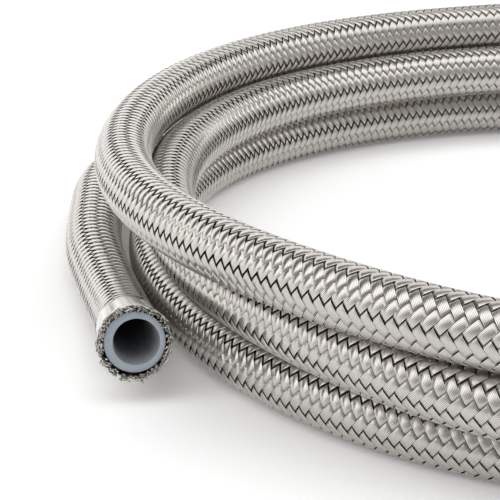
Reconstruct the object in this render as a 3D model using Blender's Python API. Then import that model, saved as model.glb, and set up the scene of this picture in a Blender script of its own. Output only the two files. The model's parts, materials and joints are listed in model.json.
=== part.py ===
"""A coil of braided fuel hose: a plain plastic liner tube inside a wire braid sleeve.

Metres, +Z up. The coil lies on the ground and the origin is below the middle of its box.
The near end is cut, swollen a little, and its bore faces -Y. The hose lies on the ground
for its first turn, and each later turn leans on the turn before it.
"""

import math

import bpy
import numpy as np

# The hose's section, from its bore outwards.
BORE_DIAMETER = 0.0074
LINER_WALL = 0.0015
LAYER_GAP = 0.0003
BRAID_WALL = 0.0010
LINER_DIAMETER = BORE_DIAMETER + 2 * LINER_WALL
BRAID_BORE = LINER_DIAMETER + 2 * LAYER_GAP
HOSE_DIAMETER = BRAID_BORE + 2 * BRAID_WALL

# The braid and the liner open out a little towards the near cut.
MOUTH_SWELL = 0.0010
MOUTH_LENGTH = 0.020

# The coil: its mean radius, and how far it is from round (second and third harmonics).
COIL_RADIUS = 0.1270
OVAL_ACROSS = -0.0016
OVAL_SLANT = 0.0010
EGG_ACROSS = -0.0005
EGG_SLANT = 0.0021
TURN_GAP = 0.0002

# Turn angles run clockwise from the left of the coil: 90 is its back, 180 its right.
COIL_START = 45
COIL_END = 1245
STATION_STEP = 8

# Knots every 45 degrees. First the turn on the ground, as radial offsets in hose diameters.
KNOT_STEP = 45
GROUND_OFFSETS = (-0.05, -0.19, -0.30, -0.45, -0.60, -0.62, -0.98, -1.38, -1.24)

# Then the lean of each later turn on the turn before it, in degrees:
# 180 lies inside it on the ground, 90 lies on top, 0 would lie outside.
LEAN_START = 450
LEANS = (180, 157, 125, 83, 51, 81, 102, 111, 111, 108, 102, 99, 99, 68, 41, 46, 51, 86, 81)

# The loose stretch from the near cut to the coil, outside the turn on the ground: turn
# angle, radial offset from the coil's mean radius, and rise off the ground.
LOOSE_STRETCH = (
    (-35.2, 0.0065, 0.0058),
    (-25.5, -0.0018, 0.0021),
    (-14.8, -0.0054, 0.0002),
    (-3.8, -0.0048, 0.0),
    (6.9, -0.0029, 0.0),
    (16.8, 0.0013, 0.0),
    (25.8, 0.0028, 0.0),
    (35.2, 0.0013, 0.0),
)
MOUTH_STATIONS = 3

# The whole coil is turned so that the near cut faces -Y.
COIL_TURN = math.radians(-9.9)

SIDES = 12
SHARP_EDGE = math.radians(40)


def clear_scene():
    for item in list(bpy.data.objects):
        bpy.data.objects.remove(item, do_unlink=True)


def finish(name, colour, metallic, roughness):
    """A plain surface finish, as linear colour."""
    material = bpy.data.materials.new(name)
    material.use_nodes = True
    shader = material.node_tree.nodes["Principled BSDF"]
    shader.inputs["Base Color"].default_value = (*colour, 1.0)
    shader.inputs["Metallic"].default_value = metallic
    shader.inputs["Roughness"].default_value = roughness
    return material


def smooth_through(knots, places):
    """Reads a smooth curve through evenly spaced knots at the given knot places."""
    knots = np.asarray(knots, dtype=float)
    before = 2 * knots[:1] - knots[1:2]
    after = 2 * knots[-1:] - knots[-2:-1]
    padded = np.concatenate([before, knots, after])
    places = np.clip(np.asarray(places, dtype=float), 0, len(knots) - 1)
    index = np.minimum(places.astype(int), len(knots) - 2)
    t = (places - index).reshape((-1,) + (1,) * (knots.ndim - 1))
    a, b, c, d = (padded[index + k] for k in range(4))
    cubic = 3 * (b - c) + d - a
    square = 2 * a - 5 * b + 4 * c - d
    return b + 0.5 * t * (c - a + t * (square + t * cubic))


def lay_of_turns(angles):
    """Radial offset and height of the hose's centre at turn angles, turn upon turn."""
    spacing = HOSE_DIAMETER + TURN_GAP
    offset = np.zeros_like(angles)
    height = np.full_like(angles, HOSE_DIAMETER / 2)
    below = angles.copy()
    while (below > LEAN_START).any():
        upper = below > LEAN_START
        places = np.maximum(below - LEAN_START, 0) / KNOT_STEP
        lean = np.radians(smooth_through(LEANS, places))
        offset += np.where(upper, spacing * np.cos(lean), 0)
        height += np.where(upper, spacing * np.sin(lean), 0)
        below = np.where(upper, below - 360, below)
    ground = np.array(GROUND_OFFSETS) * HOSE_DIAMETER
    beside_first = ground[1] - spacing
    ground = np.append(ground, beside_first)
    offset += smooth_through(ground, (below - COIL_START) / KNOT_STEP)
    return offset, height


def place(angles, offset, height):
    """Points at turn angles in degrees, radial offsets from the coil's mean radius and heights."""
    theta = np.radians(180 - angles)
    radius = COIL_RADIUS + offset
    return np.column_stack([radius * np.cos(theta), radius * np.sin(theta), height])


def coil_points(angles):
    """Centres of the hose along the coil, at turn angles in degrees."""
    offset, height = lay_of_turns(angles)
    theta = np.radians(180 - angles)
    offset += OVAL_ACROSS * np.cos(2 * theta) + OVAL_SLANT * np.sin(2 * theta)
    offset += EGG_ACROSS * np.cos(3 * theta) + EGG_SLANT * np.sin(3 * theta)
    return place(angles, offset, height)


def route():
    """Centres along the whole hose, from the near cut to the far cut."""
    stations = np.arange(COIL_START, COIL_END + STATION_STEP / 2, STATION_STEP, dtype=float)
    coil = coil_points(stations)
    angles, offset, rise = np.array(LOOSE_STRETCH).T
    loose = place(angles, offset, HOSE_DIAMETER / 2 + rise)
    mouth = np.arange(MOUTH_STATIONS) / MOUTH_STATIONS
    places = np.concatenate([mouth, np.arange(1, len(loose))])
    lead_in = smooth_through(np.vstack([loose, coil[:2]]), places)
    points = np.vstack([lead_in, coil])
    turn = np.array([
        [math.cos(COIL_TURN), -math.sin(COIL_TURN), 0],
        [math.sin(COIL_TURN), math.cos(COIL_TURN), 0],
        [0, 0, 1],
    ])
    return points @ turn.T


def unit(vectors):
    return vectors / np.linalg.norm(vectors, axis=1, keepdims=True)


def run_lengths(points):
    """Length along the hose to each point."""
    steps = np.linalg.norm(np.diff(points, axis=0), axis=1)
    return np.concatenate([[0], np.cumsum(steps)])


def rings_along(points, radius):
    """Rings of points round a route; each ring is square to it, with one point lowest."""
    tangent = unit(np.gradient(points, run_lengths(points), axis=0, edge_order=2))
    side = unit(np.cross(tangent, (0.0, 0.0, 1.0)))
    up = np.cross(side, tangent)
    swell = np.clip(1 - run_lengths(points) / MOUTH_LENGTH, 0, 1) ** 2
    radii = radius + MOUTH_SWELL * swell
    angle = np.arange(SIDES) * 2 * math.pi / SIDES - math.pi / 2
    across = np.cos(angle)[None, :, None] * side[:, None, :]
    upward = np.sin(angle)[None, :, None] * up[:, None, :]
    return points[:, None, :] + radii[:, None, None] * (across + upward)


def hollow_tube(name, points, outer_diameter, inner_diameter, material):
    """A tube along the route with an outer wall, a bore and two flat ring-shaped cuts."""
    outer = rings_along(points, outer_diameter / 2)
    inner = rings_along(points, inner_diameter / 2)
    count = len(points)
    faces = []
    for k in range(SIDES):
        n = (k + 1) % SIDES
        for i in range(count - 1):
            here, ahead = i * SIDES, (i + 1) * SIDES
            wall = (here + n, here + k, ahead + k, ahead + n)
            bore = tuple(corner + count * SIDES for corner in reversed(wall))
            faces += [wall, bore]
        first, last = count * SIDES, (count - 1) * SIDES
        faces.append((k, n, first + n, first + k))
        faces.append((last + n, last + k, first + last + k, first + last + n))
    mesh = bpy.data.meshes.new(name)
    corners = np.concatenate([outer.reshape(-1, 3), inner.reshape(-1, 3)])
    mesh.from_pydata(corners.tolist(), [], faces)
    mesh.shade_smooth()
    mesh.set_sharp_from_angle(angle=SHARP_EDGE)
    mesh.materials.append(material)
    tube = bpy.data.objects.new(name, mesh)
    bpy.context.scene.collection.objects.link(tube)
    return tube


def middle_of_base(points):
    """The point of the ground below the middle of the hose's box."""
    hull = rings_along(points, HOSE_DIAMETER / 2).reshape(-1, 3)
    low, high = hull.min(axis=0), hull.max(axis=0)
    return np.array([(low[0] + high[0]) / 2, (low[1] + high[1]) / 2, low[2]])


def main():
    clear_scene()
    points = route()
    points -= middle_of_base(points)
    wire = finish("stainless_wire_braid", (0.52, 0.50, 0.47), 1.0, 0.32)
    plastic = finish("pale_liner_plastic", (0.38, 0.45, 0.53), 0.0, 0.35)
    hollow_tube("braid_sleeve", points, HOSE_DIAMETER, BRAID_BORE, wire)
    hollow_tube("liner_tube", points, LINER_DIAMETER, BORE_DIAMETER, plastic)


main()
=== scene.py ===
"""A coil of braided fuel hose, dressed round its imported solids.

Read it from top to bottom: each step has a few words first, then a short cell of code.
"""

# %% [markdown]
# ## The frame
# The imported solids give the place and the size of everything. They are loaded first.

import json
import math

import bpy
import numpy as np
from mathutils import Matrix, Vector

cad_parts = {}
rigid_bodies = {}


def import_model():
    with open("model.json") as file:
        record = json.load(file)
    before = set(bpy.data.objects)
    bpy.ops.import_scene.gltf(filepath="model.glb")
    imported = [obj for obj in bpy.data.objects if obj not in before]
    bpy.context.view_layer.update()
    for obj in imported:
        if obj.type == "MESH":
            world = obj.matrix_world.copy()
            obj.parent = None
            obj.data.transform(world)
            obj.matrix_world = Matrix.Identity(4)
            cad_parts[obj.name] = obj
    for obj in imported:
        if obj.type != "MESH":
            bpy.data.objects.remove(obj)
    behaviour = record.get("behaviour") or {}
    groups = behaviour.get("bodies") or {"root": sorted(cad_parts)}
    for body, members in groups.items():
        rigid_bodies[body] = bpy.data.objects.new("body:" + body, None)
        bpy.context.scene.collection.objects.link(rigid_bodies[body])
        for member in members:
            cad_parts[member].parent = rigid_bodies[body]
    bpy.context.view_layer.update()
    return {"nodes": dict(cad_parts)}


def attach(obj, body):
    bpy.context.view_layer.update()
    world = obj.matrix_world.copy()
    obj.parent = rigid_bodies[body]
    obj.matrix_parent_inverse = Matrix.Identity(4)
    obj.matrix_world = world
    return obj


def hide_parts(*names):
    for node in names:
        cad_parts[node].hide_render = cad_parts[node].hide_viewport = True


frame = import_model()
print("solids:", ", ".join(sorted(frame["nodes"])))

# %% [markdown]
# ## The camera
# A long lens looks down on the coil at 20 degrees from its left front, so the near cut
# faces the camera and the coil runs out of the frame on the right. Such a lens keeps the
# turns almost the same thickness from front to back, as they are in a catalogue picture.

# %% Camera
# Where the camera stands, and the way it looks.
EYE = (-0.1644, -0.4367, 0.1718)
LOOK = (0.1615, 0.9256, -0.3423)
LENS_MM, SENSOR_MM = 152.0, 36.0
NEAREST_SEEN = 0.01

camera_data = bpy.data.cameras.new("camera")
camera_data.lens = LENS_MM
camera_data.sensor_width = SENSOR_MM
camera_data.clip_start = NEAREST_SEEN
camera = bpy.data.objects.new("camera", camera_data)
camera.location = EYE
camera.rotation_euler = Vector(LOOK).to_track_quat("-Z", "Y").to_euler()
bpy.context.scene.collection.objects.link(camera)
bpy.context.scene.camera = camera
print("camera: %.0f mm lens" % LENS_MM)

# %% [markdown]
# ## The way the hose lies
# One line runs through the middle of the hose from the near cut to the far cut. It could be
# drawn by hand as a curve, but a coil is a rule: the first turn lies on the ground, and each
# later turn leans on the turn before it at an angle that changes slowly. So the line is
# worked out from turn angles, with the same values as the solids.

# %% The hose's sizes
BORE_DIAMETER = 0.0074
LINER_WALL = 0.0015
LAYER_GAP = 0.0003
BRAID_WALL = 0.0010
LINER_DIAMETER = BORE_DIAMETER + 2 * LINER_WALL
HOSE_DIAMETER = LINER_DIAMETER + 2 * LAYER_GAP + 2 * BRAID_WALL

# The braid and the liner open out a little towards the near cut.
MOUTH_SWELL = 0.0010
MOUTH_LENGTH = 0.020
print("hose %.1f mm, liner %.1f mm, bore %.1f mm" % (
    HOSE_DIAMETER * 1000, LINER_DIAMETER * 1000, BORE_DIAMETER * 1000))

# %% The values of its lay
# The coil's mean radius, how oval and how egg-shaped it is, and the gap between its turns.
COIL_RADIUS = 0.1270
OVAL_ACROSS, OVAL_SLANT = -0.0016, 0.0010
EGG_ACROSS, EGG_SLANT = -0.0005, 0.0021
TURN_GAP = 0.0002

# Turn angles in degrees run clockwise from the left of the coil: 90 is its back.
COIL_START, COIL_END = 45, 1245
STATION_STEP = 8

# The whole coil is turned, and moved so that the middle of its box is over the origin.
COIL_TURN = math.radians(-9.9)
MIDDLE_OF_BASE = (-0.00006, -0.00327, 0.0)

# The turn on the ground, as radial offsets in hose diameters at every 45 degrees. Then the
# lean of each later turn on the turn before it: 180 lies inside it, 90 on top of it.
KNOT_STEP = 45
GROUND_OFFSETS = (-0.05, -0.19, -0.30, -0.45, -0.60, -0.62, -0.98, -1.38, -1.24)
LEAN_START = 450
LEANS = (180, 157, 125, 83, 51, 81, 102, 111, 111, 108, 102, 99, 99, 68, 41, 46, 51, 86, 81)

# The loose stretch from the near cut to the coil: turn angle, radial offset, and rise.
LOOSE_STRETCH = (
    (-35.2, 0.0065, 0.0058),
    (-25.5, -0.0018, 0.0021),
    (-14.8, -0.0054, 0.0002),
    (-3.8, -0.0048, 0.0),
    (6.9, -0.0029, 0.0),
    (16.8, 0.0013, 0.0),
    (25.8, 0.0028, 0.0),
    (35.2, 0.0013, 0.0),
)
print("turns of the coil: %.1f" % ((COIL_END - COIL_START) / 360))


# %% A smooth curve through knots
def smooth_through(knots, places):
    """Reads a smooth curve through evenly spaced knots: a cubic between each two, whose slope
    at a knot is half the step from the knot before it to the knot after it."""
    knots = np.asarray(knots, dtype=float)
    padded = np.concatenate([2 * knots[:1] - knots[1:2], knots, 2 * knots[-1:] - knots[-2:-1]])
    places = np.clip(np.asarray(places, dtype=float), 0, len(knots) - 1)
    index = np.minimum(places.astype(int), len(knots) - 2)
    t = (places - index).reshape((-1,) + (1,) * (knots.ndim - 1))
    a, b, c, d = (padded[index + k] for k in range(4))
    return b + 0.5 * t * (c - a + t * (2 * a - 5 * b + 4 * c - d + t * (3 * (b - c) + d - a)))


print("between the knots 1 and 4 of 0, 1, 4, 9:", smooth_through((0, 1, 4, 9), [1.5]))


# %% The lay of the turns
def lay_of_turns(angles):
    """Radial offset and height of the hose's middle: the turn on the ground, and on it, turn
    upon turn, a step of one hose diameter in the direction of the lean."""
    spacing = HOSE_DIAMETER + TURN_GAP
    offset = np.zeros_like(angles)
    height = np.full_like(angles, HOSE_DIAMETER / 2)
    below = angles.copy()
    while (below > LEAN_START).any():
        upper = below > LEAN_START
        places = np.maximum(below - LEAN_START, 0) / KNOT_STEP
        lean = np.radians(smooth_through(LEANS, places))
        offset += np.where(upper, spacing * np.cos(lean), 0)
        height += np.where(upper, spacing * np.sin(lean), 0)
        below = np.where(upper, below - 360, below)
    ground = np.array(GROUND_OFFSETS) * HOSE_DIAMETER
    beside_first = ground[1] - spacing
    ground = np.append(ground, beside_first)
    offset += smooth_through(ground, (below - COIL_START) / KNOT_STEP)
    return offset, height


back_heights = lay_of_turns(np.arange(90.0, COIL_END, 360))[1]
print("heights of the turns at the back, mm:", np.round(back_heights * 1000, 1))


# %% Points of the coil
def place(angles, offset, height):
    """Points at turn angles, radial offsets from the coil's mean radius, and heights."""
    theta = np.radians(180 - angles)
    radius = COIL_RADIUS + offset
    return np.column_stack([radius * np.cos(theta), radius * np.sin(theta), height])


def coil_points(angles):
    """Points of the coil: a circle, to whose radius come a wave with two crests a turn, for
    the oval, and one with three, for the egg shape."""
    offset, height = lay_of_turns(angles)
    theta = np.radians(180 - angles)
    offset += OVAL_ACROSS * np.cos(2 * theta) + OVAL_SLANT * np.sin(2 * theta)
    offset += EGG_ACROSS * np.cos(3 * theta) + EGG_SLANT * np.sin(3 * theta)
    return place(angles, offset, height)


print("the coil starts at", np.round(coil_points(np.array([float(COIL_START)]))[0], 4))

# %% The line through the hose
# How finely it is worked out: parts of a knot, degrees, and the points that are kept.
LOOSE_PART = 0.05
FINE_STEP = 0.5
LINE_POINTS = 2600


def centre_line():
    """The whole line, near cut to far cut, turned and moved as the solids are."""
    angles, offset, rise = np.array(LOOSE_STRETCH).T
    loose = place(angles, offset, HOSE_DIAMETER / 2 + rise)
    coil_begins = coil_points(COIL_START + np.array([0.0, STATION_STEP]))
    lead_in = smooth_through(
        np.vstack([loose, coil_begins]), np.arange(0, len(loose), LOOSE_PART))
    coil = coil_points(np.arange(COIL_START, COIL_END + FINE_STEP / 2, FINE_STEP))
    c, s = math.cos(COIL_TURN), math.sin(COIL_TURN)
    turned = np.vstack([lead_in, coil]) @ np.array([[c, s, 0], [-s, c, 0], [0, 0, 1]])
    return turned - MIDDLE_OF_BASE


raw_line = centre_line()
raw_run = np.append(0, np.cumsum(np.linalg.norm(np.diff(raw_line, axis=0), axis=1)))
LENGTH = raw_run[-1]
run = np.linspace(0, LENGTH, LINE_POINTS)
line = np.column_stack([np.interp(run, raw_run, raw_line[:, k]) for k in range(3)])
print("length of the hose %.3f m" % LENGTH)


# %% Directions along the line
def unit(vectors):
    """Vectors of length 1: each divided by its own length."""
    return vectors / np.linalg.norm(vectors, axis=-1, keepdims=True)


tangent = unit(np.gradient(line, run, axis=0, edge_order=2))
side = unit(np.cross(tangent, (0.0, 0.0, 1.0)))
up = np.cross(side, tangent)
print("the near cut faces", np.round(-tangent[0], 3))


# %% [markdown]
# Everything on the hose is placed by three numbers: how far along it lies, at what angle
# round the hose, and how far out from its middle. One function turns them into points.

# %% From hose numbers to points
def blend(value, low, high):
    """0 below low, 1 above high, and an S-shaped rise between them: three times the square
    of the way along, less two times its cube."""
    t = np.clip((value - low) / (high - low), 0, 1)
    return t * t * (3 - 2 * t)


def dies_out(at):
    """1 at the near cut and 0 from MOUTH_LENGTH on: the square of the share still to go."""
    return np.clip(1 - at / MOUTH_LENGTH, 0, 1) ** 2


def on_hose(at, angle, radius):
    """Points at a length, an angle from the side towards the top, and a radius: the middle of
    the hose, and the radius times the cosine of the angle sideways and its sine upwards. At a
    length below 0 the hose goes straight on past its cut."""
    def read(table):
        return np.stack([np.interp(at, run, table[:, k]) for k in range(3)], axis=-1)
    outward = np.cos(angle)[..., None] * read(side) + np.sin(angle)[..., None] * read(up)
    beyond = np.minimum(at, 0)[..., None] * tangent[0]
    swollen = radius + MOUTH_SWELL * dies_out(at)
    return read(line) + beyond + swollen[..., None] * outward


cut_top = on_hose(np.zeros(1), np.full(1, math.pi / 2), np.full(1, HOSE_DIAMETER / 2))
print("top of the near cut:", np.round(cut_top[0], 4))


# %% Making a mesh from arrays
def new_piece(name, points, quads, ends=(), uv=None, depth=None, material=None, flat=()):
    """A smooth mesh from points and quads, with any other faces in ends. depth is a number for
    each point that the finish can read. flat lists the faces that are shaded flat."""
    faces = quads.reshape(-1, 4)
    loops = np.concatenate([faces.ravel(), *[np.asarray(e) for e in ends]]).astype(np.int32)
    sizes = np.array([4] * len(faces) + [len(e) for e in ends], dtype=np.int32)
    starts = np.append(0, np.cumsum(sizes)[:-1]).astype(np.int32)
    mesh = bpy.data.meshes.new(name)
    points = points.reshape(-1, 3)
    mesh.vertices.add(len(points))
    mesh.vertices.foreach_set("co", points.astype(np.float32).ravel())
    mesh.loops.add(len(loops))
    mesh.loops.foreach_set("vertex_index", loops)
    mesh.polygons.add(len(sizes))
    mesh.polygons.foreach_set("loop_start", starts)
    mesh.polygons.foreach_set("loop_total", sizes)
    mesh.update(calc_edges=True)
    if uv is not None:
        layer = mesh.uv_layers.new(name="across_and_along")
        layer.data.foreach_set("uv", uv.reshape(-1, 2)[loops].astype(np.float32).ravel())
    if depth is not None:
        values = mesh.attributes.new("depth", "FLOAT", "POINT")
        values.data.foreach_set("value", depth.astype(np.float32).ravel())
    mesh.validate()
    smooth = np.ones(len(mesh.polygons), dtype=bool)
    smooth[list(flat)] = False
    mesh.polygons.foreach_set("use_smooth", smooth)
    if material:
        mesh.materials.append(material)
    piece = bpy.data.objects.new(name, mesh)
    bpy.context.scene.collection.objects.link(piece)
    return piece


def tube_quads(rings, sides):
    """Quads between rings of points that follow each other, each ring closed on itself."""
    ring = np.arange(rings - 1)[:, None] * sides
    k = np.arange(sides)[None, :]
    n = (k + 1) % sides
    quads = np.stack([ring + k, ring + n, ring + sides + n, ring + sides + k], axis=-1)
    return quads.reshape(-1, 4)


print("quads between two rings of three:", tube_quads(2, 3).tolist())


# %% [markdown]
# ## Finishes
# A finish is a network of shader nodes. One helper adds a node with its settings and its
# links, and one turns the familiar sRGB hex colours into the linear ones that light needs.

# %% Helpers for finishes
def linear(hex_colour):
    """An sRGB hex colour as linear red, green, blue and alpha."""
    parts = [int(hex_colour[k:k + 2], 16) / 255 for k in (1, 3, 5)]
    return (*[p / 12.92 if p <= 0.04045 else ((p + 0.055) / 1.055) ** 2.4 for p in parts], 1.0)


def add_node(tree, kind, links=None, **settings):
    """Adds a node with its settings. links sets its input sockets, to a value or to the
    output of another node."""
    node = tree.nodes.new(kind)
    for key, value in settings.items():
        setattr(node, key, value)
    for key, value in (links or {}).items():
        socket = node.inputs[key]
        if isinstance(value, bpy.types.NodeSocket):
            tree.links.new(value, socket)
        else:
            socket.default_value = value
    return node


def new_finish(name):
    """A new material, its node tree and its Principled shader node."""
    material = bpy.data.materials.new(name)
    material.use_nodes = True
    tree = material.node_tree
    return material, tree, tree.nodes["Principled BSDF"]


print("half grey as linear light: %.3f" % linear("#808080")[0])


# %% [markdown]
# ### Bright drawn stainless wire
# The braid is woven from hard drawn stainless wire, bright and a little warm. A strand is a
# flat ribbon of round wires side by side, so light spreads across it and hardly along it.
# That is what anisotropy gives, with its tangent across the strand. Thin darker lines
# between the wires come from the strand's own UV map. Little light comes out from between two
# ribbons and from where one dives under another, so the finish is painted darker there, as
# painted shade. Each point of a strand carries a depth for that: 0 on top of a float and 1
# where it dives. In the band by the cut, where the braid is pressed flat and lies open to the
# light, it is -1, and the wire is painted lighter, with softer lines: painted light for its sheen.

# %% Wire finish
# A real strand has ten wires of 0.2 mm. Seven are drawn, because ten are too fine to show.
WIRES = 7

# How far a line between two wires fades out from its middle, in wires, and how much of the
# lighter colour, painted light, even a line has in the pressed band.
LINE_FADES_BY = 0.3
LEAST_IN_BAND = 0.6


def lined_steel(tree, across, depth):
    """Steel with a darker line where the count of wires across the strand is a whole number,
    and painted lighter in the pressed band, as painted light, less so in the lines."""
    count = add_node(tree, "ShaderNodeMath", {0: across, 1: float(WIRES)}, operation="MULTIPLY")
    within = add_node(tree, "ShaderNodeMath", {0: count.outputs[0], 1: 0.5}, operation="PINGPONG")
    off_line = add_node(tree, "ShaderNodeMapRange", {
        "Value": within.outputs[0], "From Max": LINE_FADES_BY}, interpolation_type="SMOOTHSTEP")
    steel = add_node(tree, "ShaderNodeMix", {
        0: off_line.outputs[0], "A": linear("#8E8A85"), "B": linear("#D9D5CF"),
    }, data_type="RGBA")
    pressed_flat = add_node(tree, "ShaderNodeMapRange", {
        "Value": depth, "From Min": -1.0, "From Max": 0.0, "To Min": 1.0, "To Max": 0.0})
    soft_line = add_node(tree, "ShaderNodeMath", {0: off_line.outputs[0], 1: LEAST_IN_BAND},
                         operation="MAXIMUM")
    band_painted_light = add_node(tree, "ShaderNodeMath", {0: pressed_flat.outputs[0], 1: soft_line.outputs[0]},
                     operation="MULTIPLY")
    # The pale colour is painted light: the sheen of the flat band by the cut.
    return add_node(tree, "ShaderNodeMix", {
        0: band_painted_light.outputs[0], "A": steel.outputs["Result"], "B": linear("#F0EEEA"),
    }, data_type="RGBA").outputs["Result"]


print("lines across a strand:", WIRES)

# %% Where the wire gets little light
# The dark edge of a ribbon, in ribbon widths, and the depths between which a dive darkens,
# each with the share of light that is left at its darkest.
EDGE_WIDTH, LEFT_AT_EDGE = 0.03, 0.40
DIVE_FROM, DIVE_TO, LEFT_IN_DIVE = 0.70, 1.0, 0.38


def open_to_light(tree, across, depth):
    """The share of light left: what the edge leaves times what the dive leaves."""
    from_edge = add_node(tree, "ShaderNodeMath", {0: across, 1: 0.5}, operation="PINGPONG")
    off_edge = add_node(tree, "ShaderNodeMapRange", {
        "Value": from_edge.outputs[0], "From Max": EDGE_WIDTH, "To Min": LEFT_AT_EDGE,
    }, interpolation_type="SMOOTHSTEP")
    off_dive = add_node(tree, "ShaderNodeMapRange", {
        "Value": depth, "From Min": DIVE_FROM, "From Max": DIVE_TO, "To Min": 1.0,
        "To Max": LEFT_IN_DIVE}, interpolation_type="SMOOTHSTEP")
    return add_node(tree, "ShaderNodeMath", {0: off_edge.outputs[0], 1: off_dive.outputs[0]},
                    operation="MULTIPLY").outputs[0]


print("light left in a dive at a ribbon's edge: %.2f" % (LEFT_AT_EDGE * LEFT_IN_DIVE))


# %% Wire finish, whole
def wire_finish():
    """Lined steel, mixed towards near black by the share of light that it doesn't get."""
    material, tree, shader = new_finish("bright_drawn_stainless_wire")
    uv = add_node(tree, "ShaderNodeUVMap", uv_map="across_and_along")
    split = add_node(tree, "ShaderNodeSeparateXYZ", {"Vector": uv.outputs["UV"]})
    depth = add_node(tree, "ShaderNodeAttribute", attribute_name="depth")
    where = (tree, split.outputs["X"], depth.outputs["Fac"])
    colour = add_node(tree, "ShaderNodeMix", {
        0: open_to_light(*where), "A": linear("#2E2C29"), "B": lined_steel(*where),
    }, data_type="RGBA")
    over = add_node(tree, "ShaderNodeTangent", direction_type="UV_MAP", uv_map="across_and_along")
    tree.links.new(colour.outputs["Result"], shader.inputs["Base Color"])
    tree.links.new(over.outputs[0], shader.inputs["Tangent"])
    shader.inputs["Metallic"].default_value = 1.0
    shader.inputs["Roughness"].default_value = 0.30
    shader.inputs["Anisotropic"].default_value = 0.8
    return material


wire = wire_finish()
print("wire finish: %d nodes" % len(wire.node_tree.nodes))

# %% [markdown]
# ### Liner plastic
# The liner is extruded from a pale grey-blue fluoroplastic, waxy and a little mottled on its
# cut face. Its bore is painted a duller, darker grey, as painted shade, and its depth number is 1.

# %% Liner finish
# The mottle's blotches are about a quarter of a millimetre across.
MOTTLE_SIZE = 0.00028


def liner_finish():
    """Two close pale colours, mixed by fine noise, and a duller, darker one in the bore: painted
    shade.
    """
    material, tree, shader = new_finish("extruded_pale_fluoroplastic")
    depth = add_node(tree, "ShaderNodeAttribute", attribute_name="depth")
    on_liner = add_node(tree, "ShaderNodeTexCoord")
    mottle = add_node(tree, "ShaderNodeTexNoise", {
        "Vector": on_liner.outputs["Object"], "Scale": 1 / MOTTLE_SIZE, "Detail": 2.0})
    pale = add_node(tree, "ShaderNodeMix", {
        0: mottle.outputs["Fac"], "A": linear("#9FABB6"), "B": linear("#B5BEC6"),
    }, data_type="RGBA")
    # The bore's duller, darker grey is painted shade inside the tube.
    colour = add_node(tree, "ShaderNodeMix", {
        0: depth.outputs["Fac"], "A": pale.outputs["Result"], "B": linear("#A3A6AA"),
    }, data_type="RGBA")
    tree.links.new(colour.outputs["Result"], shader.inputs["Base Color"])
    shader.inputs["Roughness"].default_value = 0.42
    shader.inputs["IOR"].default_value = 1.38
    return material


liner_plastic = liner_finish()
print("liner finish: %d nodes" % len(liner_plastic.node_tree.nodes))

# %% [markdown]
# ## The braid
# A braiding machine carries 24 bobbins, half of them each way round the hose. Each strand is
# a ribbon of fine wires that winds round the hose, two over and two under the strands of the
# other hand. A tube with a woven picture on it would look flat at every edge, so each strand
# is a ribbon of its own. Lengths along the braid are counted in crossings: a strand meets
# the next strand of the other hand once in each.

# %% Numbers of the braid
STRANDS_EACH_WAY = 12
CROSSINGS_A_TURN = 2 * STRANDS_EACH_WAY
WIRE_DIAMETER = 0.00022

# The angle round the hose of one crossing, and where the first strand starts.
CELL = 2 * math.pi / CROSSINGS_A_TURN
FIRST_ROW_ANGLE = math.radians(30)

# How far a float rises above the braid's mean radius, and that radius.
RELIEF = 0.00033
BRAID_RADIUS = HOSE_DIAMETER / 2 - RELIEF - WIRE_DIAMETER

# The ribbons end just inside the cut, and the braid stands out a little from the liner there.
RIBBON_START = 0.0012
BRAID_FLARE = 0.00035
print("strands: %d, each %.1f mm of the way round the hose" % (
    CROSSINGS_A_TURN, 2000 * math.pi * BRAID_RADIUS / STRANDS_EACH_WAY))

# %% Crossings along the hose
# The length in which a strand goes once round the hose, at the front of the coil and at its
# back, where it is a little shorter.
PITCH_FRONT, PITCH_BACK = 0.0311, 0.0275

# Towards the cut the strands wind more steeply and lie pressed flat, one hand over the other.
# Each strand is drawn as one wire there, because the lines between more would not show.
BAND_START, BAND_END = 0.0125, 0.0165
BAND_TIGHTER = 1.6
BAND_COARSER = 1 - 1 / WIRES

# The count of crossings is the running sum of their density along the line.
forward = np.clip((1 - line[:, 1] / COIL_RADIUS) / 2, 0, 1)
pitch = PITCH_BACK + (PITCH_FRONT - PITCH_BACK) * forward
band = 1 - blend(run, BAND_START, BAND_END)
density = CROSSINGS_A_TURN / pitch * (1 + BAND_TIGHTER * band)
steps = (density[1:] + density[:-1]) / 2 * np.diff(run)
crossings = np.append(0, np.cumsum(steps))
print("crossings along the hose: %d" % crossings[-1])

# %% The roll of the lower turns
# They were rolled a little as the hose was coiled. The roll starts and ends over these
# lengths.
ROLL = math.radians(22)
ROLLED_FROM, ROLLED_TO = (0.20, 0.50), (1.50, 1.90)
roll = ROLL * (blend(run, *ROLLED_FROM) - blend(run, *ROLLED_TO))
print("most roll: %.0f degrees" % math.degrees(roll.max()))

# %% The section and the wave of a strand
# Across a strand: five points in strand spacings, the outer two lower than the rest, since
# the ribbon's edge wires are round. Of the five faces round a ribbon, edge to edge and then
# below, two lie along its top.
ACROSS = np.array([-0.498, -0.45, 0.0, 0.45, 0.498])
LIFT = np.array([0.70, 0.95, 1.0, 0.95, 0.70]) * WIRE_DIAMETER
TOP_FACES = (1, 2)

# A strand's wave, in crossings from where it comes up: how high it lies, how wide, how deep.
WAVE = 4
WAVE_AT = np.array([0, 0.3, 1.0, 1.7, 2.0, 2.3, 3.7, 4.0])
WAVE_RISE = np.array([0, 0.88, 1.0, 0.88, 0, -0.6, -0.6, 0])
WAVE_WIDTH = np.array([0.94, 0.985, 1.0, 0.985, 0.94, 0.92, 0.92, 0.94])
WAVE_DEPTH = np.array([1.0, 0.7, 0, 0.7, 1.0, 1.0, 1.0, 1.0])

# Where the wave of each hand's first strand starts, in crossings.
RIGHT_START, LEFT_START = -0.5, -3.5
print("a strand is %.2f mm thick at its middle, %.2f at its edges" % (
    LIFT[2] * 1000, LIFT[0] * 1000))

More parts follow.
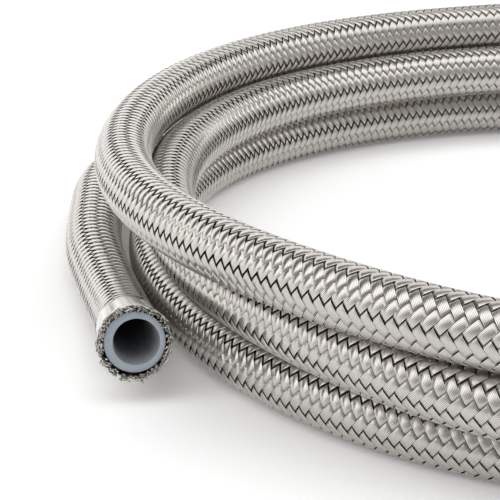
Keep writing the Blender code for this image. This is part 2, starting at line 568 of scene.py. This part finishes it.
# %% One ribbon
# Rows keep this far from a ribbon's ends, and its ends turn square over this many crossings.
CLEAR_OF_END = 0.2
SQUARE_OVER = 2
MAP_A_CROSSING = 0.1


def strand_rows(first, last, start):
    """Places of the rows along a strand: seven to a wave, and one at each end."""
    waves = np.arange(
        math.floor((first - start) / WAVE) - 1, math.ceil((last - start) / WAVE) + 1)
    rows = (waves[:, None] * WAVE + WAVE_AT[None, :-1]).ravel() + start
    rows = rows[(rows > first + CLEAR_OF_END) & (rows < last - CLEAR_OF_END)]
    return np.concatenate([[first], rows, [last]])


def ribbon(hand, number):
    """A closed ribbon: rows of five points that lie along the strands it crosses, and that
    turn square to the hose at each end. The angle round the hose grows with the count of
    crossings for one hand and falls for the other. Each strand's wave starts two crossings
    from its neighbour's, and one hand comes up where the other hand dives. laid is 1 in the
    band by the cut, where the strands lie flat, and 0 out of it."""
    first = np.interp(RIBBON_START, run, crossings)
    last = crossings[-1]
    start = RIGHT_START - 2 * number if hand > 0 else LEFT_START + 2 * number
    middle = strand_rows(first, last, start)[:, None]
    wave = np.mod(middle - start, WAVE)
    laid = 1 - blend(np.interp(middle, crossings, run), BAND_START, BAND_END)
    width = laid + (1 - laid) * np.interp(wave, WAVE_AT, WAVE_WIDTH)
    across = ACROSS[None, :] * width
    shear = np.minimum(
        blend(middle, first, first + SQUARE_OVER), 1 - blend(middle, last - SQUARE_OVER, last))
    count = middle - hand * shear * across
    angle = (2 * (number + across) + hand * count) * CELL + FIRST_ROW_ANGLE
    angle += np.interp(count, crossings, roll)
    rise = (1 - laid) * RELIEF * np.interp(wave, WAVE_AT, WAVE_RISE)
    height = rise + laid * hand * WIRE_DIAMETER / 2 + LIFT[None, :]
    at = np.interp(count, crossings, run)
    points = on_hose(at, angle, BRAID_RADIUS + BRAID_FLARE * dies_out(at) + height)
    depth = (1 - laid) * np.interp(wave, WAVE_AT, WAVE_DEPTH) - laid
    depth = np.broadcast_to(depth, count.shape)
    wires_shown = np.broadcast_to(1 - BAND_COARSER * laid, count.shape)
    uv = np.stack([ACROSS * wires_shown + 0.5, count * MAP_A_CROSSING], axis=-1)
    wide = len(ACROSS)
    quads = tube_quads(len(middle), wide)
    begin = np.arange(wide)
    end = begin + (len(middle) - 1) * wide
    if hand > 0:
        return points, quads[:, ::-1], [begin, end[::-1]], uv, depth
    return points, quads, [begin[::-1], end], uv, depth


print("points in one ribbon:", ribbon(1, 0)[0].size // 3)


# %% [markdown]
# ### Cut wires
# The braid was cut with shears, so its wires end raggedly round the cut: some are pushed in,
# some stick out, and a few lie across the others. Each wire end is a thin round tube of its
# own, a part of its strand. They are drawn a little thicker than the wire, so that they show.

# %% Wire ends
END_WIRES = 14
END_DIAMETER = 0.00030
END_SIDES = 5
END_STEPS = 6
END_START = 0.0022

# Every ninth wire strays, counted with a shift from strand to strand. The low side is where
# the shears pressed, and it spans these cosines of the angle from its middle.
STRAY_EVERY, STRAY_SHIFT = 9, 4
LOW_SIDE = math.radians(-115)
LOW_SPAN = (0.3, 1.0)

# How far the wires reach past the cut and how far they spread outwards: the least and the
# most of the random draw, and what a stray wire and one on the low side have on top.
REACH, REACH_STRAY, REACH_LOW = (0.0, 0.0009), 0.0003, 0.0002
SPREAD, SPREAD_STRAY, SPREAD_LOW = (-0.0012, 0.0002), 0.0003, 0.0005

# How far they wind on, in degrees, and how dark they are, as a depth.
WIND_ON, WIND_ON_STRAY = (2, 20), 25
END_DEPTH = (0.6, 1.0)

# A place on the strand's map that is clear of its edges and lines, and a direction that no
# wire end runs along.
CLEAR_PLACE = (0.25, 0.5)
ASIDE = (0.3, 0.2, 1.0)
print("cut wires: %d" % (END_WIRES * CROSSINGS_A_TURN))

# %% The ends of one strand's wires
ends_draw = np.random.default_rng(5)


def wire_ends(hand, number):
    """Tubes that start inside the end of a ribbon, wind on with it, and spread in or out as
    the square of the way along them. Their lengths, turns and spreads are random draws, and
    they stick out most on the low side, where the shears pressed."""
    pick = np.arange(END_WIRES)
    first = np.interp(RIBBON_START, run, crossings)
    across = (pick + 0.5) / END_WIRES - 0.5
    first_angle = (2 * (number + across) + hand * first) * CELL + FIRST_ROW_ANGLE
    stray = (pick + STRAY_SHIFT * number + (hand > 0)) % STRAY_EVERY == 0
    low = blend(np.cos(first_angle - LOW_SIDE), *LOW_SPAN)
    reach = ends_draw.uniform(*REACH, END_WIRES) + stray * REACH_STRAY + low * REACH_LOW
    spread = ends_draw.uniform(*SPREAD, END_WIRES) + stray * SPREAD_STRAY + low * SPREAD_LOW
    turn = -hand * np.radians(ends_draw.uniform(*WIND_ON, END_WIRES) + stray * WIND_ON_STRAY)
    s = np.linspace(0, 1, END_STEPS)[:, None]
    at = END_START * (1 - s) - reach * s
    radius = BRAID_RADIUS + BRAID_FLARE + hand * WIRE_DIAMETER / 2 + spread * s ** 2
    middle = on_hose(at, first_angle + turn * s, radius)
    ahead = unit(np.gradient(middle, axis=0))
    right = unit(np.cross(ahead, ASIDE))
    top = np.cross(right, ahead)
    round_it = (np.arange(END_SIDES) * 2 * math.pi / END_SIDES)[:, None]
    rings = middle[:, :, None] + END_DIAMETER / 2 * (
        np.cos(round_it) * right[:, :, None] + np.sin(round_it) * top[:, :, None])
    points = rings.transpose(1, 0, 2, 3).reshape(-1, 3)
    each = END_STEPS * END_SIDES
    quads = tube_quads(END_STEPS, END_SIDES)[None] + (pick * each)[:, None, None]
    tip = np.arange(END_SIDES)
    caps = [tip[::-1] + k * each for k in pick]
    caps += [tip + (k + 1) * each - END_SIDES for k in pick]
    uv = np.broadcast_to(CLEAR_PLACE, (len(points), 2))
    depth = np.repeat(ends_draw.uniform(*END_DEPTH, END_WIRES), each)
    return points, quads.reshape(-1, 4), caps, uv, depth


print("furthest reach past the cut: %.1f mm" % (
    (REACH[1] + REACH_STRAY + REACH_LOW) * 1000))


# %% [markdown]
# Wires laid side by side keep a ribbon's top even and end in a crisp edge. Smooth shading
# would round the whole ribbon like a pillow, so only the top of a float and the pressed band
# are shaded smooth. The edges and the dives are shaded flat.

# %% Whole strands
SMOOTH_TO_DEPTH = 0.6


def flat_faces(depth, quad_count):
    """The ribbon's faces that are shaded flat: all that lie deeper than the limit at both of
    their rows, and, out of the pressed band, all but the two along the top."""
    face = np.arange(quad_count)
    row_depth = depth[:, 0]
    shallower = np.minimum(row_depth[:-1], row_depth[1:])[face // len(ACROSS)]
    at_edge = ~np.isin(face % len(ACROSS), TOP_FACES)
    return face[(shallower > SMOOTH_TO_DEPTH) | (at_edge & (shallower >= 0))]


def strand(hand, number):
    """A ribbon and its cut wires as one mesh."""
    points, quads, ends, uv, depth = ribbon(hand, number)
    end_points, end_quads, end_caps, end_uv, end_depth = wire_ends(hand, number)
    count = points.size // 3
    return new_piece(
        "strand_%s_%02d" % ("right" if hand > 0 else "left", number + 1),
        np.concatenate([points.reshape(-1, 3), end_points]),
        np.concatenate([quads, end_quads + count]),
        ends + [cap + count for cap in end_caps],
        np.concatenate([uv.reshape(-1, 2), end_uv]),
        np.concatenate([depth.ravel(), end_depth]),
        wire, flat_faces(depth, len(quads)))


strands = [strand(hand, number) for hand in (1, -1) for number in range(STRANDS_EACH_WAY)]
triangles = sum(len(s.data.polygons) * 2 for s in strands)
print("strands: %d, about %d triangles" % (len(strands), triangles))


# %% [markdown]
# ## The liner
# Inside the braid runs an extruded plastic tube that carries the fuel. It shows at the cut:
# a flat ring with a bore in it. It is a profile, out along the wall, over the ring and back
# through the bore, carried along the hose's line.

# %% Liner
LINER_SIDES = 48
BORE_OFF_CENTRE = 0.00035

# The cut ring's edges are a little round: two points on each, this far in from the corner.
EDGE_IN, EDGE_SOFT = 0.0002, 0.00006

# Lengths of the rings along the walls: close together at the mouth, then further apart, and
# none so near the far cut that it would lie on the last one.
BY_THE_CUT = (EDGE_IN, 0.0006)
MOUTH_STEP, WALL_STEP, CLEAR_OF_LAST = 0.002, 0.012, 0.001


def liner():
    """Rings outside from the far cut to the near one, over the cut's small round edges, and
    back along the bore, which is moved aside as a whole."""
    outer, inner = LINER_DIAMETER / 2, BORE_DIAMETER / 2
    wall = np.concatenate([
        BY_THE_CUT, np.arange(MOUTH_STEP, MOUTH_LENGTH, MOUTH_STEP),
        np.arange(MOUTH_LENGTH, LENGTH - CLEAR_OF_LAST, WALL_STEP), [LENGTH]])
    at = np.concatenate([wall[::-1], [EDGE_SOFT, 0, 0, EDGE_SOFT], wall])
    radius = np.concatenate([
        np.full(len(wall), outer),
        [outer - EDGE_SOFT, outer - EDGE_IN, inner + EDGE_IN, inner + EDGE_SOFT],
        np.full(len(wall), inner)])
    ring = np.arange(len(at))
    round_bore = ring >= len(wall) + 2
    in_bore = ring >= len(wall) + 4
    angle = np.linspace(0, 2 * math.pi, LINER_SIDES, endpoint=False)
    off_centre = round_bore[:, None] * BORE_OFF_CENTRE * np.cos(angle)
    points = on_hose(
        np.repeat(at[:, None], LINER_SIDES, 1),
        np.repeat(angle[None, :], len(at), 0),
        radius[:, None] + off_centre)
    k = np.arange(LINER_SIDES)
    n = (k + 1) % LINER_SIDES
    last = (len(at) - 1) * LINER_SIDES
    far_cut = np.stack([last + k, last + n, n, k], axis=-1)
    quads = np.concatenate([tube_quads(len(at), LINER_SIDES), far_cut])
    # Depth 1 marks the bore, whose grey is painted shade.
    depth = np.repeat(in_bore, LINER_SIDES)
    return new_piece("liner", points, quads, depth=depth, material=liner_plastic)


liner_piece = liner()
print("liner: %d faces" % len(liner_piece.data.polygons))

# %% [markdown]
# ## The studio
# A plain white floor. The metal shows what surrounds it, so the room is built as a studio
# has it, from the front horizon over the top to the back: a grey room in front, a wide
# softbox overhead, a dark gap behind it and a white backdrop low at the back. The dark gap
# draws the dark arcs along the far side of each turn, and the backdrop its light rim. The
# floor glows a little, like a light table, so that it stays white.

# %% Floor
FLOOR_SIZE, FLOOR_HEIGHT = 8, -0.0001
FLOOR_GLOW = 0.13

bpy.ops.mesh.primitive_plane_add(size=FLOOR_SIZE, location=(0, 0, FLOOR_HEIGHT))
floor = bpy.context.object
floor.name = "floor"
floor_finish, _, floor_shader = new_finish("matt_white_paper")
floor_shader.inputs["Base Color"].default_value = linear("#FDFDFD")
floor_shader.inputs["Roughness"].default_value = 0.9
floor_shader.inputs["Emission Color"].default_value = linear("#FFFFFF")
floor_shader.inputs["Emission Strength"].default_value = FLOOR_GLOW
floor.data.materials.append(floor_finish)
print("floor: %d m across" % FLOOR_SIZE)

# %% Room
# Angles from the front horizon over the top, in degrees, and the light from there.
ROOM = ((0, 0.25), (46, 0.32), (57, 1.4), (80, 1.95), (102, 2.1), (112, 0.03), (137, 0.03),
        (146, 1.5))

world = bpy.data.worlds.new("studio_room")
bpy.context.scene.world = world
world.use_nodes = True
room = world.node_tree
room_way = add_node(room, "ShaderNodeTexCoord")
room_split = add_node(room, "ShaderNodeSeparateXYZ", {"Vector": room_way.outputs["Generated"]})
frontward = add_node(room, "ShaderNodeMath", {0: room_split.outputs["Y"], 1: -1.0},
                     operation="MULTIPLY")
over_top = add_node(room, "ShaderNodeMath", {0: room_split.outputs["Z"], 1: frontward.outputs[0]},
                    operation="ARCTAN2")
half_turns = add_node(room, "ShaderNodeMath", {0: over_top.outputs[0], 1: math.pi},
                      operation="DIVIDE")
light_there = add_node(room, "ShaderNodeValToRGB", {"Fac": half_turns.outputs[0]})
stops = light_there.color_ramp.elements
for _ in ROOM[2:]:
    stops.new(1.0)
for stop, (angle, light) in zip(stops, ROOM):
    stop.position = angle / 180
    stop.color = (light, light, light, 1)
backdrop = room.nodes["Background"]
room.links.new(light_there.outputs["Color"], backdrop.inputs["Color"])
bpy.context.scene.view_settings.view_transform = "Standard"
print("room: light at %d angles over the top" % len(ROOM))

# %% [markdown]
# ## What each piece stands for
# Every piece rides on the one body. The strands stand for the plain sleeve and the liner for
# the plain tube.

# %% Riding and standing in
for piece in strands:
    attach(piece, "root")
    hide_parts("braid_sleeve")
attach(liner_piece, "root")
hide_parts("liner_tube")
print("pieces that ride on the body: %d" % (len(strands) + 1))

print("cord: %.3f m, %.1f mm thick" % (LENGTH, HOSE_DIAMETER * 1000))
